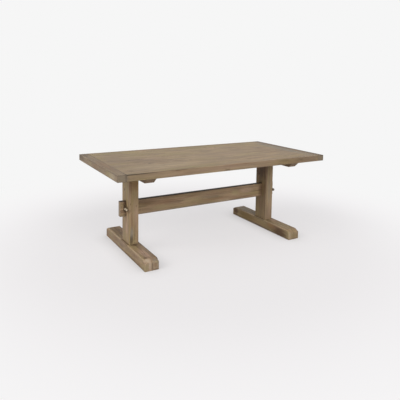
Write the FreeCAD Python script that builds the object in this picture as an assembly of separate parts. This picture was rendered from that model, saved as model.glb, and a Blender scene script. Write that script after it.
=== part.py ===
import FreeCAD, Part
import math
import os

from FreeCAD import Vector

# A trestle dining table that comes apart on a bench: a planked top with breadboard ends, screwed
# down on two trestles, and one stretcher whose tenons pass through the posts and are held there
# by loose round pegs.
#
# Frame: +X along the table, +Y to its back, +Z up. The origin is on the floor under the middle
# of the top. Everything is in millimetres. "left" is -X, "front" is -Y, and on a trestle "outer"
# is the side away from the middle of the table.

# ---------------------------------------------------------------- driving dimensions

# Top
TOP_LENGTH = 1980.0
TOP_WIDTH = 980.0
TABLE_HEIGHT = 762.0
TOP_THICKNESS = 51.0
BREADBOARD_WIDTH = 70.0
PLANK_COUNT = 7
TOP_ARRIS = 3.0              # radius that the outer edges of the top are worn to
TOP_CORNER = 4.0             # how much is taken off each upright corner of the top
SEAM_VEE = 1.0               # depth of the small V where two boards meet

# Joints of the top
EDGE_TONGUE_DEPTH = 8.0      # tongue along a plank's back edge
EDGE_TONGUE_THICKNESS = 12.0
END_TONGUE_LENGTH = 22.0     # tongue on the planks' ends, inside the breadboard
END_TONGUE_THICKNESS = 17.0
GROOVE_STOP = 20.0           # the breadboard's groove stops this far short of its ends
TONGUE_ROOM = 1.0            # room left beyond the tip of any tongue or tenon
PIN_SIZE = 10.0              # the pins are square
PIN_SLOT_TRAVEL = 3.0        # each way, so that the planks can swell and shrink

# Trestles
TRESTLE_X = 702.0            # middle of each trestle from the middle of the table
FOOT_LENGTH = 885.0
FOOT_WIDTH = 116.0           # two boards, face to face
FOOT_HEIGHT = 83.0
FOOT_BEVEL_RUN = 40.0
FOOT_BEVEL_DROP = 20.0
FOOT_ARRIS = 4.0
POST_THICKNESS = 82.0        # along X
POST_WIDTH = 156.0           # along Y
POST_ARRIS = 3.0
BEAM_LENGTH = 870.0
BEAM_WIDTH = 82.0
BEAM_HEIGHT = 52.0
BEAM_BEVEL_RUN = 50.0
BEAM_BEVEL_RISE = 41.0
BEAM_ARRIS = 3.0

# Tenons of a post, the same section at both ends
POST_TENON_THICKNESS = 38.0
POST_TENON_WIDTH = 110.0
FOOT_TENON_LENGTH = 50.0
BEAM_TENON_LENGTH = 44.0

# Stretcher and pegs
STRETCHER_BOTTOM = 307.0
STRETCHER_HEIGHT = 127.0
STRETCHER_THICKNESS = 42.0
STRETCHER_ARRIS = 3.0
TENON_THICKNESS = 30.0
TENON_REACH = 57.0           # how far the tenon stands out past the post
TENON_CHAMFER = 3.0
MORTISE_ROOM = 0.25          # on each side of the stretcher's tenon
PEG_RADIUS = 12.5
PEG_LENGTH = 140.0
PEG_CHAMFER = 1.0
PEG_ROOM = 0.05              # radial running clearance in the tenon
PEG_GAP = 0.3                # between the peg and the post's outer face
PEG_HEAD_REACH = {"left": 58.0, "right": 82.0}   # the pegs are tapped in by hand, unevenly

# Coach screws that hold the top down on the beams
SCREW_RADIUS = 4.0
SCREW_HEAD_ACROSS = 13.0
SCREW_HEAD_HEIGHT = 5.5
SCREW_GRIP_IN_TOP = 30.0
SCREW_HOLE_RADIUS = 4.5      # through the beam
SCREW_SLOT_TRAVEL = 4.0      # each way, in the outer holes of a beam
WASHER_SIZE = 24.0           # square plate washers, which cover the slots
WASHER_THICKNESS = 2.0
THREAD_ROOM = 0.05           # round a screw in its hole or nut; threads are left plain

# Levellers, one near each end of each foot
LEVELLER_Y = 385.0
RECESS_RADIUS = 17.0
RECESS_DEPTH = 17.0
PAD_ACROSS = 25.0            # the pads are hexagonal, to be held while the stem is turned
PAD_HEIGHT = 8.0
PAD_FLOOR = 3.0              # solid nylon under the end of the stem
STEM_RADIUS = 4.0
STEM_TOP = 45.0
STEM_ROOM = 1.0              # round and above the stem in the foot
STEM_FLATS_ACROSS = 6.5      # two flats for a spanner
STEM_FLATS_BOTTOM = 9.5
STEM_FLATS_HEIGHT = 6.0
SWIVEL_ROOM = 0.08           # between the stem and the pad that it turns in
NUT_SIZE = 13.0              # a square nut, let into the ceiling of the recess
NUT_THICKNESS = 6.5

# ---------------------------------------------------------------- sizes worked out from these

TOP_UNDERSIDE = TABLE_HEIGHT - TOP_THICKNESS
TOP_MIDDLE = TABLE_HEIGHT - TOP_THICKNESS / 2
PLANK_WIDTH = TOP_WIDTH / PLANK_COUNT
PLANK_END = TOP_LENGTH / 2 - BREADBOARD_WIDTH
BEAM_UNDERSIDE = TOP_UNDERSIDE - BEAM_HEIGHT
STRETCHER_TOP = STRETCHER_BOTTOM + STRETCHER_HEIGHT
POST_INNER = TRESTLE_X - POST_THICKNESS / 2
POST_OUTER = TRESTLE_X + POST_THICKNESS / 2
PEG_X = POST_OUTER + PEG_GAP + PEG_RADIUS
PEG_Z = (STRETCHER_BOTTOM + STRETCHER_TOP) / 2
PIN_X = PLANK_END + END_TONGUE_LENGTH / 2
PIN_TOP = TOP_MIDDLE + END_TONGUE_THICKNESS / 2
PIN_ROWS = (-2 * PLANK_WIDTH, 0.0, 2 * PLANK_WIDTH)
SCREW_ROWS = (-2 * PLANK_WIDTH, -PLANK_WIDTH, PLANK_WIDTH, 2 * PLANK_WIDTH)
NUT_TOP = RECESS_DEPTH + NUT_THICKNESS
SIDES = {"left": -1, "right": 1}
ENDS = {"front": -1, "back": 1}
UP = Vector(0, 0, 1)
ALONG_X = Vector(1, 0, 0)
ALONG_Y = Vector(0, 1, 0)


# ---------------------------------------------------------------- small helpers

def box(x_range, y_range, z_range):
    """A box from its three ranges, each given low value first."""
    corner = Vector(x_range[0], y_range[0], z_range[0])
    length, width, height = (high - low for low, high in (x_range, y_range, z_range))
    return Part.makeBox(length, width, height, corner)


def around(middle, size):
    """The range of a given size about a middle value."""
    return (middle - size / 2, middle + size / 2)


def ordered(first, second):
    """Two values as a range, low value first."""
    return (min(first, second), max(first, second))


def upright(x, y, bottom, top, radius):
    """An upright cylinder."""
    return Part.makeCylinder(radius, top - bottom, Vector(x, y, bottom), UP)


def upright_slot(x, y, bottom, top, radius, travel):
    """An upright hole that is drawn out along Y by a travel each way."""
    middle = box((x - radius, x + radius), (y - travel, y + travel), (bottom, top))
    near = upright(x, y - travel, bottom, top, radius)
    far = upright(x, y + travel, bottom, top, radius)
    return middle.fuse([near, far]).removeSplitter()


def extrude_yz(points, x_range):
    """A prism along X over an outline given as (y, z) points."""
    corners = [Vector(x_range[0], y, z) for y, z in points]
    outline = Part.makePolygon(corners + corners[:1])
    return Part.Face(outline).extrude(ALONG_X * (x_range[1] - x_range[0]))


def is_parallel(edge, direction):
    """Whether a straight edge runs along a direction."""
    if not isinstance(edge.Curve, Part.Line):
        return False
    return edge.Curve.Direction.cross(direction).Length < 1e-6


def vee_along_x(x_range, y, z, depth):
    """A small V groove along X, open at height z."""
    return extrude_yz([(y - depth, z), (y + depth, z), (y, z - depth)], x_range)


def vee_along_y(x, y_range, z, depth):
    """A small V groove along Y, open at height z."""
    corners = [Vector(x - depth, y_range[0], z), Vector(x + depth, y_range[0], z)]
    corners.append(Vector(x, y_range[0], z - depth))
    outline = Part.makePolygon(corners + corners[:1])
    return Part.Face(outline).extrude(ALONG_Y * (y_range[1] - y_range[0]))


def hexagon(x, y, bottom, top, across_flats):
    """An upright hexagonal prism."""
    corner_radius = across_flats / 2 / math.cos(math.pi / 6)
    corners = []
    for step in range(6):
        angle = step * math.pi / 3
        corners.append(Vector(x + corner_radius * math.cos(angle),
                              y + corner_radius * math.sin(angle), bottom))
    outline = Part.makePolygon(corners + corners[:1])
    return Part.Face(outline).extrude(UP * (top - bottom))


# ---------------------------------------------------------------- top

def top_slab():
    """The whole top as one slab, with worn outer edges and a V along every seam."""
    half_length = TOP_LENGTH / 2
    half_width = TOP_WIDTH / 2
    slab = box((-half_length, half_length), (-half_width, half_width),
               (TOP_UNDERSIDE, TABLE_HEIGHT))
    slab = slab.makeChamfer(TOP_CORNER, [edge for edge in slab.Edges if is_parallel(edge, UP)])
    slab = slab.makeFillet(TOP_ARRIS, [edge for edge in slab.Edges if not is_parallel(edge, UP)])
    seams = []
    for index in range(1, PLANK_COUNT):
        y = -half_width + index * PLANK_WIDTH
        seams.append(vee_along_x((-PLANK_END, PLANK_END), y, TABLE_HEIGHT, SEAM_VEE))
    for sign in SIDES.values():
        y_range = (-half_width, half_width)
        seams.append(vee_along_y(sign * PLANK_END, y_range, TABLE_HEIGHT, SEAM_VEE))
    return slab.cut(seams)


def plank_end_tongue(front, back, sign):
    """The tongue on one end of a plank, kept clear of the ends of the groove."""
    limit = TOP_WIDTH / 2 - GROOVE_STOP - TONGUE_ROOM
    x_range = ordered(sign * PLANK_END, sign * (PLANK_END + END_TONGUE_LENGTH))
    y_range = (max(front, -limit), min(back, limit))
    return box(x_range, y_range, around(TOP_MIDDLE, END_TONGUE_THICKNESS))


def plank(index, slab):
    """One board of the top: tongue at its back edge, groove at its front, tongues on its ends."""
    front = -TOP_WIDTH / 2 + index * PLANK_WIDTH
    back = front + PLANK_WIDTH
    middle = (front + back) / 2
    tongue_z = around(TOP_MIDDLE, EDGE_TONGUE_THICKNESS)
    board = slab.common(box((-PLANK_END, PLANK_END), (front, back),
                            (TOP_UNDERSIDE, TABLE_HEIGHT)))
    board = board.fuse([plank_end_tongue(front, back, sign) for sign in SIDES.values()])
    if index < PLANK_COUNT - 1:
        y_range = (back, back + EDGE_TONGUE_DEPTH)
        board = board.fuse(box((-PLANK_END, PLANK_END), y_range, tongue_z))
    if index > 0:
        y_range = (front, front + EDGE_TONGUE_DEPTH + TONGUE_ROOM)
        board = board.cut(box((-PLANK_END, PLANK_END), y_range, tongue_z))
    board = board.removeSplitter()
    holes = plank_pin_holes(middle) + plank_screw_holes(middle)
    return board.cut(holes) if holes else board


def is_on(rows, middle):
    """Whether a plank's middle line is one of the given rows."""
    return any(math.isclose(row, middle, abs_tol=1.0) for row in rows)


def plank_pin_holes(middle):
    """Holes for the breadboards' pins: tight in the middle plank, slotted in the others."""
    if not is_on(PIN_ROWS, middle):
        return []
    travel = 0.0 if is_on([0.0], middle) else PIN_SLOT_TRAVEL
    return [pin_shape(sign, middle, travel) for sign in SIDES.values()]


def plank_screw_holes(middle):
    """Holes for the coach screws, one over each beam, a little deeper than the screws."""
    if not is_on(SCREW_ROWS, middle):
        return []
    top = TOP_UNDERSIDE + SCREW_GRIP_IN_TOP + TONGUE_ROOM
    return [upright(sign * TRESTLE_X, middle, TOP_UNDERSIDE, top, SCREW_RADIUS + THREAD_ROOM)
            for sign in SIDES.values()]


def breadboard(sign, slab):
    """The board across the ends of the planks, with a stopped groove for their tongues."""
    outer = sign * TOP_LENGTH / 2
    inner = sign * PLANK_END
    half_width = TOP_WIDTH / 2
    board = slab.common(box(ordered(inner, outer), (-half_width, half_width),
                            (TOP_UNDERSIDE, TABLE_HEIGHT)))
    groove_bottom = inner + sign * (END_TONGUE_LENGTH + TONGUE_ROOM)
    groove_y = (-half_width + GROOVE_STOP, half_width - GROOVE_STOP)
    groove = box(ordered(inner, groove_bottom), groove_y,
                 around(TOP_MIDDLE, END_TONGUE_THICKNESS))
    return board.cut([groove] + breadboard_pins(sign))


def pin_shape(sign, y, travel):
    """A square pin, driven up through the tongue from below, or the slot that it slides in."""
    return box(around(sign * PIN_X, PIN_SIZE), around(y, PIN_SIZE + 2 * travel),
               (TOP_UNDERSIDE, PIN_TOP))


def breadboard_pins(sign):
    """The wooden pins that hold one breadboard."""
    return [pin_shape(sign, y, 0.0) for y in PIN_ROWS]


# ---------------------------------------------------------------- trestles

def foot_blank(sign):
    """Both boards of a foot as one bar: bevelled ends, worn edges, mortise and recesses."""
    half = FOOT_LENGTH / 2
    shoulder = FOOT_HEIGHT - FOOT_BEVEL_DROP
    bevel = half - FOOT_BEVEL_RUN
    outline = [(-half, 0), (-half, shoulder), (-bevel, FOOT_HEIGHT),
               (bevel, FOOT_HEIGHT), (half, shoulder), (half, 0)]
    middle = sign * TRESTLE_X
    bar = extrude_yz(outline, around(middle, FOOT_WIDTH))
    rims = [edge for edge in bar.Edges
            if edge.BoundBox.ZMax > 1 and not is_parallel(edge, ALONG_X)]
    bar = bar.makeChamfer(FOOT_ARRIS, rims)
    mortise = box(around(middle, POST_TENON_THICKNESS), around(0, POST_TENON_WIDTH),
                  (FOOT_HEIGHT - FOOT_TENON_LENGTH - TONGUE_ROOM, FOOT_HEIGHT))
    cutters = [mortise, vee_along_y(middle, (-bevel, bevel), FOOT_HEIGHT, SEAM_VEE)]
    for end in ENDS.values():
        cutters.extend(leveller_hole(middle, end * LEVELLER_Y))
    return bar.cut(cutters)


def leveller_hole(x, y):
    """The recess for a pad, the pocket for its square nut and the room above for the stem."""
    return [upright(x, y, 0, RECESS_DEPTH, RECESS_RADIUS),
            nut_block(x, y),
            upright(x, y, NUT_TOP, STEM_TOP + STEM_ROOM, STEM_RADIUS + STEM_ROOM)]


def foot_board(sign, blank, face):
    """One of the two boards that a foot is glued up from: face 1 is the outer one."""
    seam = sign * TRESTLE_X
    edge = seam + sign * face * FOOT_WIDTH / 2
    half = FOOT_LENGTH / 2
    return blank.common(box(ordered(seam, edge), (-half, half), (0, FOOT_HEIGHT)))


def post(sign):
    """A post with a tenon at each end and a mortise through it for the stretcher."""
    middle = sign * TRESTLE_X
    x_range = around(middle, POST_THICKNESS)
    body = box(x_range, around(0, POST_WIDTH), (FOOT_HEIGHT, BEAM_UNDERSIDE))
    corners = [edge for edge in body.Edges if is_parallel(edge, UP)]
    body = body.makeFillet(POST_ARRIS, corners)
    tenons = box(around(middle, POST_TENON_THICKNESS), around(0, POST_TENON_WIDTH),
                 (FOOT_HEIGHT - FOOT_TENON_LENGTH, BEAM_UNDERSIDE + BEAM_TENON_LENGTH))
    mortise = box(x_range, around(0, TENON_THICKNESS + 2 * MORTISE_ROOM),
                  (STRETCHER_BOTTOM - MORTISE_ROOM, STRETCHER_TOP + MORTISE_ROOM))
    return body.fuse(tenons).removeSplitter().cut(mortise)


def top_beam(sign):
    """The beam under the top: bevelled ends, a mortise for the post, and holes for the screws."""
    half = BEAM_LENGTH / 2
    flat = half - BEAM_BEVEL_RUN
    tip = BEAM_UNDERSIDE + BEAM_BEVEL_RISE
    outline = [(-half, TOP_UNDERSIDE), (-half, tip), (-flat, BEAM_UNDERSIDE),
               (flat, BEAM_UNDERSIDE), (half, tip), (half, TOP_UNDERSIDE)]
    middle = sign * TRESTLE_X
    bar = extrude_yz(outline, around(middle, BEAM_WIDTH))
    rims = [edge for edge in bar.Edges
            if edge.BoundBox.ZMin < TOP_UNDERSIDE - 1 and not is_parallel(edge, ALONG_X)]
    bar = bar.makeChamfer(BEAM_ARRIS, rims)
    mortise_top = BEAM_UNDERSIDE + BEAM_TENON_LENGTH + TONGUE_ROOM
    cutters = [box(around(middle, POST_TENON_THICKNESS), around(0, POST_TENON_WIDTH),
                   (BEAM_UNDERSIDE, mortise_top))]
    cutters.extend(beam_screw_hole(middle, y) for y in SCREW_ROWS)
    return bar.cut(cutters)


def beam_screw_hole(x, y):
    """A clearance hole through the beam: round near the post, slotted further out."""
    is_outer = abs(y) > 1.5 * PLANK_WIDTH
    if is_outer:
        return upright_slot(x, y, BEAM_UNDERSIDE, TOP_UNDERSIDE, SCREW_HOLE_RADIUS,
                            SCREW_SLOT_TRAVEL)
    return upright(x, y, BEAM_UNDERSIDE, TOP_UNDERSIDE, SCREW_HOLE_RADIUS)


# ---------------------------------------------------------------- stretcher and pegs

def stretcher():
    """The stretcher: side shoulders against the posts, and tenons right through them."""
    z_range = (STRETCHER_BOTTOM, STRETCHER_TOP)
    tip = POST_OUTER + TENON_REACH
    rail = box((-POST_INNER, POST_INNER), around(0, STRETCHER_THICKNESS), z_range)
    long_edges = [edge for edge in rail.Edges if is_parallel(edge, ALONG_X)]
    rail = rail.makeFillet(STRETCHER_ARRIS, long_edges)
    tenons = box((-tip, tip), around(0, TENON_THICKNESS), z_range)
    end_edges = [edge for edge in tenons.Edges if not is_parallel(edge, ALONG_X)]
    tenons = tenons.makeChamfer(TENON_CHAMFER, end_edges)
    bar = rail.fuse(tenons).removeSplitter()
    holes = []
    for sign in SIDES.values():
        start = Vector(sign * PEG_X, -STRETCHER_THICKNESS, PEG_Z)
        holes.append(Part.makeCylinder(PEG_RADIUS + PEG_ROOM, 2 * STRETCHER_THICKNESS,
                                       start, ALONG_Y))
    return bar.cut(holes)


def peg(side):
    """A round peg with its ends eased."""
    start = Vector(SIDES[side] * PEG_X, -PEG_HEAD_REACH[side], PEG_Z)
    dowel = Part.makeCylinder(PEG_RADIUS, PEG_LENGTH, start, ALONG_Y)
    rims = [edge for edge in dowel.Edges if isinstance(edge.Curve, Part.Circle)]
    return dowel.makeChamfer(PEG_CHAMFER, rims)


# ---------------------------------------------------------------- screws and washers

def top_screw(x, y):
    """A coach screw, up through its washer and the beam and into the top."""
    head_top = BEAM_UNDERSIDE - WASHER_THICKNESS
    head = hexagon(x, y, head_top - SCREW_HEAD_HEIGHT, head_top, SCREW_HEAD_ACROSS)
    shank = upright(x, y, head_top, TOP_UNDERSIDE + SCREW_GRIP_IN_TOP, SCREW_RADIUS)
    return head.fuse(shank)


def top_washer(x, y):
    """The square washer between a screw's head and the beam."""
    z_range = (BEAM_UNDERSIDE - WASHER_THICKNESS, BEAM_UNDERSIDE)
    plate = box(around(x, WASHER_SIZE), around(y, WASHER_SIZE), z_range)
    return plate.cut(upright(x, y, *z_range, SCREW_HOLE_RADIUS))


# ---------------------------------------------------------------- levellers

def nut_block(x, y):
    """The outside of a leveller's square nut."""
    return box(around(x, NUT_SIZE), around(y, NUT_SIZE), (RECESS_DEPTH, NUT_TOP))


def leveller_nut(x, y):
    """The square nut in a foot that a leveller's stem screws into."""
    return nut_block(x, y).cut(upright(x, y, RECESS_DEPTH, NUT_TOP, STEM_RADIUS + THREAD_ROOM))


def leveller_pad(x, y):
    """The nylon pad that stands on the floor, with a socket that the stem turns in."""
    block = hexagon(x, y, 0, PAD_HEIGHT, PAD_ACROSS)
    return block.cut(upright(x, y, PAD_FLOOR, PAD_HEIGHT, STEM_RADIUS + SWIVEL_ROOM))


def leveller_stem(x, y):
    """The steel stem: its end in the pad, two flats for a spanner, and the screw."""
    screw = upright(x, y, PAD_FLOOR, STEM_TOP, STEM_RADIUS)
    z_range = (STEM_FLATS_BOTTOM, STEM_FLATS_BOTTOM + STEM_FLATS_HEIGHT)
    x_range = (x - STEM_RADIUS, x + STEM_RADIUS)
    flat = STEM_FLATS_ACROSS / 2
    return screw.cut([box(x_range, (y + flat, y + STEM_RADIUS), z_range),
                      box(x_range, (y - STEM_RADIUS, y - flat), z_range)])


# ---------------------------------------------------------------- the whole table

def build():
    """Every node of the table by name."""
    nodes = {}
    slab = top_slab()
    for index in range(PLANK_COUNT):
        nodes[f"plank_{index + 1}"] = plank(index, slab)
    nodes["stretcher"] = stretcher()
    for side, sign in SIDES.items():
        x = sign * TRESTLE_X
        nodes[f"breadboard_{side}"] = breadboard(sign, slab)
        nodes[f"breadboard_pins_{side}"] = Part.makeCompound(breadboard_pins(sign))
        blank = foot_blank(sign)
        nodes[f"foot_{side}_outer"] = foot_board(sign, blank, 1)
        nodes[f"foot_{side}_inner"] = foot_board(sign, blank, -1)
        nodes[f"post_{side}"] = post(sign)
        nodes[f"top_beam_{side}"] = top_beam(sign)
        nodes[f"peg_{side}"] = peg(side)
        for name, make in (("screws", top_screw), ("washers", top_washer)):
            nodes[f"top_{name}_{side}"] = Part.makeCompound([make(x, y) for y in SCREW_ROWS])
        for end, end_sign in ENDS.items():
            y = end_sign * LEVELLER_Y
            nodes[f"leveller_pad_{side}_{end}"] = leveller_pad(x, y)
            nodes[f"leveller_stem_{side}_{end}"] = leveller_stem(x, y)
        nuts = [leveller_nut(x, end_sign * LEVELLER_Y) for end_sign in ENDS.values()]
        nodes[f"leveller_nuts_{side}"] = Part.makeCompound(nuts)
    return nodes


def main():
    os.makedirs("parts", exist_ok=True)
    for name, shape in build().items():
        shape.exportStep(f"parts/{name}.step")


main()
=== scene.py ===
import math
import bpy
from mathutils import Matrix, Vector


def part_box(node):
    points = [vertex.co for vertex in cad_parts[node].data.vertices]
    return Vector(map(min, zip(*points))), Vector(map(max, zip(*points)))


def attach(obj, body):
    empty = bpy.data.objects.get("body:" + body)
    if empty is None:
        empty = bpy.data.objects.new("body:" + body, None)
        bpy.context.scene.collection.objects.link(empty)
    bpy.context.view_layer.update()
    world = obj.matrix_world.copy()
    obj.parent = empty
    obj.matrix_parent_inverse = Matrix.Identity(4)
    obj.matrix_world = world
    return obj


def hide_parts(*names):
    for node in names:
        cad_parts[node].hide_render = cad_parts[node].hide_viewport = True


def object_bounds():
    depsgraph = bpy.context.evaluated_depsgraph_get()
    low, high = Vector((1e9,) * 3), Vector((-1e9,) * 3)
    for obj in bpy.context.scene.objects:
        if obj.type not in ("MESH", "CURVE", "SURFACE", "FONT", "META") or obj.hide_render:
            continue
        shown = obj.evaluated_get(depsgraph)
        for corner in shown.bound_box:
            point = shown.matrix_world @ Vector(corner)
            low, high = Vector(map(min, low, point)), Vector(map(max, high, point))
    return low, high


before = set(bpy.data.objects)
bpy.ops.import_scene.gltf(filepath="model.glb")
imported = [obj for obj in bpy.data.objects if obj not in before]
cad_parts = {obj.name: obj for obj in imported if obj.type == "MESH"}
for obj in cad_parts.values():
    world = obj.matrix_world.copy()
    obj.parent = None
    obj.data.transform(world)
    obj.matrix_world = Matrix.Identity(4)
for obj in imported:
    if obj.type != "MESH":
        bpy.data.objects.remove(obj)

from types import SimpleNamespace

import bpy
from bpy.props import FloatProperty, FloatVectorProperty, IntProperty, PointerProperty
from mathutils import Matrix, Vector

bl_info = {
    "name": "Trestle Dining Table",
    "version": (1, 0, 0),
    "blender": (4, 5, 0),
    "location": "View3D > Sidebar > Trestle Table",
    "description": "Finishes a plank-topped trestle table and sets it on a pale studio floor",
    "category": "Object",
}

# ---- places read off the frame

FRAME_LOW, FRAME_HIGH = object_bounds()
SIDES = ("left", "right")
ENDS = ("front", "back")
PLANKS = [f"plank_{number}" for number in range(1, 8)]
PLANK_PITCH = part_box("plank_2")[0].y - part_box("plank_1")[0].y
SEAM_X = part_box("breadboard_right")[0].x          # where planks meet a breadboard
TOP_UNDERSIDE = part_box("breadboard_right")[0].z
POST_LOW, POST_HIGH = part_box("post_right")
TRESTLE_X = (POST_LOW.x + POST_HIGH.x) / 2
FOOT_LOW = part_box("foot_right_inner")[0]
FOOT_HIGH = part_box("foot_right_outer")[1]
BEAM_LOW, BEAM_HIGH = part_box("top_beam_right")
STRETCHER_LOW, STRETCHER_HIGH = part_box("stretcher")
PEG_LOW, PEG_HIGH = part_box("peg_right")
PEG_MIDDLE = (PEG_LOW + PEG_HIGH) / 2
PEG_RADIUS = (PEG_HIGH.x - PEG_LOW.x) / 2
LEFT_PEG_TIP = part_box("peg_left")[0].y


def tint(red, green, blue):
    """A colour given as a screen shows it, from 0 to 255, as the linear values that nodes use."""
    def linear(level):
        level /= 255
        return level / 12.92 if level <= 0.04045 else ((level + 0.055) / 1.055) ** 2.4
    return (linear(red), linear(green), linear(blue), 1.0)


def Colour(name, description, default):
    """A setting that holds a colour."""
    return FloatVectorProperty(name=name, description=description, default=default,
                               subtype="COLOR", size=4, min=0.0, max=1.0)


def Number(name, description, default, **kind):
    """A setting that holds a number of some kind."""
    return FloatProperty(name=name, description=description, default=default, **kind)


def Length(name, description, default):
    """A setting in metres."""
    return Number(name, description, default, min=0.0, unit="LENGTH", precision=5)


def Angle(name, description, degrees):
    """A setting that is written here in degrees and held in radians."""
    return Number(name, description, math.radians(degrees), subtype="ANGLE")


# ---- sizes and colours to change

class TableWood(bpy.types.PropertyGroup):
    """The stain and the figure of the boards."""
    tan: Colour("Tan", "The stain where the wood took it evenly", tint(166, 143, 115))
    taupe: Colour("Taupe", "The stain where it greyed", tint(150, 130, 107))
    olive: Colour("Olive", "The stain over pale sapwood", tint(158, 140, 104))
    moss: Colour("Moss", "Sapwood that the stain turned green", tint(130, 108, 66))
    amber: Colour("Amber", "Pale wood that shows golden through the stain", tint(168, 136, 88))
    russet: Colour("Russet", "Wood that shows warm through the stain", tint(140, 108, 80))
    wash: Colour("Wash", "Thin brown wash over the trestles, which filters the stain",
                 (0.96, 0.905, 0.86, 1.0))
    # This tone is real glaze in seams and also painted shade under the top, round the posts, on
    # the pegs and along the feet's bottoms.
    glaze: Colour("Glaze", "Dark glaze left in seams and corners", tint(54, 43, 32))
    worn: Colour("Worn", "Arrises that are rubbed pale", tint(184, 162, 132))
    rose: Colour("Rose", "Pale rosy heartwood that took little stain", tint(180, 151, 128))
    # This tone is wood rubbed bare and also the painted highlight on the pegs.
    bare: Colour("Bare", "Wood rubbed bare of its stain", tint(208, 193, 168))
    silver: Colour("Silver", "Wood that weathered to grey", tint(140, 131, 117))
    # This tone is real dark stain and also painted shade on the beams, posts, stretcher, feet and
    # the top's long edges.
    umber: Colour("Umber", "Dark warm stain", tint(92, 66, 44))
    knot: Colour("Knot", "Middle of a knot", tint(78, 60, 44))
    end_grain: Colour("End grain", "Sawn ends, which drink more stain", tint(124, 111, 93))
    ring_spacing: Length("Ring spacing", "From one growth ring to the next", 0.0062)
    fibre_width: Length("Fibre width", "Width of the fine marks in the grain", 0.0011)
    grain_depth: Length("Grain depth", "How deep brushing has cut the soft grain", 0.00035)


class TableHardware(bpy.types.PropertyGroup):
    """The screws, washers, nuts and levellers."""
    zinc: Colour("Zinc", "Plated steel", tint(190, 192, 194))
    tarnish: Colour("Tarnish", "Dull spots on the plating", tint(120, 112, 98))
    nylon: Colour("Nylon", "Leveller pads", tint(38, 38, 39))
    dust: Colour("Dust", "Dust in the low places of the nylon", tint(96, 92, 86))
    stem_pitch: Length("Stem pitch", "Thread pitch of a leveller's stem", 0.00125)
    screw_pitch: Length("Screw pitch", "Thread pitch of a coach screw", 0.0032)
    thread_depth: Length("Thread depth", "Depth of either thread", 0.0007)
    rod_sides: IntProperty(name="Rod sides", description="Faces round a threaded rod",
                           default=24, min=8)


class TableStage(bpy.types.PropertyGroup):
    """The floor, the light and the camera."""
    backdrop: Colour("Backdrop", "Colour behind the table and of the far floor",
                     tint(246, 246, 246))
    near_floor: Colour("Near floor", "Colour that the floor shows round the table",
                       tint(236, 234, 235))
    floor: Colour("Floor", "Paint of the floor", (0.66, 0.65, 0.65, 1.0))
    shadow: Number("Shadow", "How much of the table's shadow shows", 0.5,
                   min=0.0, max=0.9, subtype="FACTOR")
    contact: Number("Contact", "How dark the floor is close to the feet", 0.55,
                    min=0.0, max=1.0, subtype="FACTOR")
    contact_reach: Length("Contact reach", "How far from the feet that goes", 0.15)
    sky: Number("Sky", "Strength of the light from all round", 0.34, min=0.0)
    side_lamp: Number("Side lamp", "Strength of the lamp on the left", 1.35, min=0.0)
    front_lamp: Number("Front lamp", "Strength of the lamp in front", 1.75, min=0.0)
    lamp_height: Angle("Lamp height", "How high both lamps stand", 30)
    lamp_spread: Angle("Lamp spread", "How wide both lamps are", 45)
    side_lamp_turn: Angle("Side lamp turn", "How far round the side lamp stands", 83)
    camera_place: FloatVectorProperty(name="Camera place", description="Where the camera is",
                                      default=(-2.0293, -3.3811, 1.4414),
                                      subtype="TRANSLATION")
    camera_turn: Angle("Turn", "Camera's turn about the upright", -30.411)
    camera_tilt: Angle("Tilt", "How far the camera looks down", 5.318)
    camera_roll: Angle("Roll", "Camera's roll about its own line", 0.871)
    lens: Number("Lens", "Focal length in millimetres", 39.83, min=1.0)
    lens_shift: Number("Lens shift", "How far the view is shifted up", -0.2)


# ---- nodes

def maths(operation, reflected=False):
    """A method of Value that adds a Math node."""
    def method(self, *others):
        terms = (*others, self) if reflected else (self, *others)
        return self.recipe.math(operation, *terms)
    return method


class Value:
    """What comes out of a node. Sums on it add their own Math nodes."""

    def __init__(self, recipe, socket):
        self.recipe = recipe
        self.socket = socket

    __add__ = __radd__ = maths("ADD")
    __sub__ = maths("SUBTRACT")
    __rsub__ = maths("SUBTRACT", reflected=True)
    __mul__ = __rmul__ = maths("MULTIPLY")
    __truediv__ = maths("DIVIDE")
    __rtruediv__ = maths("DIVIDE", reflected=True)
    __pow__ = maths("POWER")
    __gt__ = maths("GREATER_THAN")
    __lt__ = maths("LESS_THAN")
    __abs__ = maths("ABSOLUTE")
    least = maths("MINIMUM")
    most = maths("MAXIMUM")

    def __neg__(self):
        return self * -1.0

    def math(self, operation, *others):
        return self.recipe.math(operation, self, *others)

    def out(self, name):
        """Another output of the same node."""
        return Value(self.recipe, self.socket.node.outputs[name])


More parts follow.
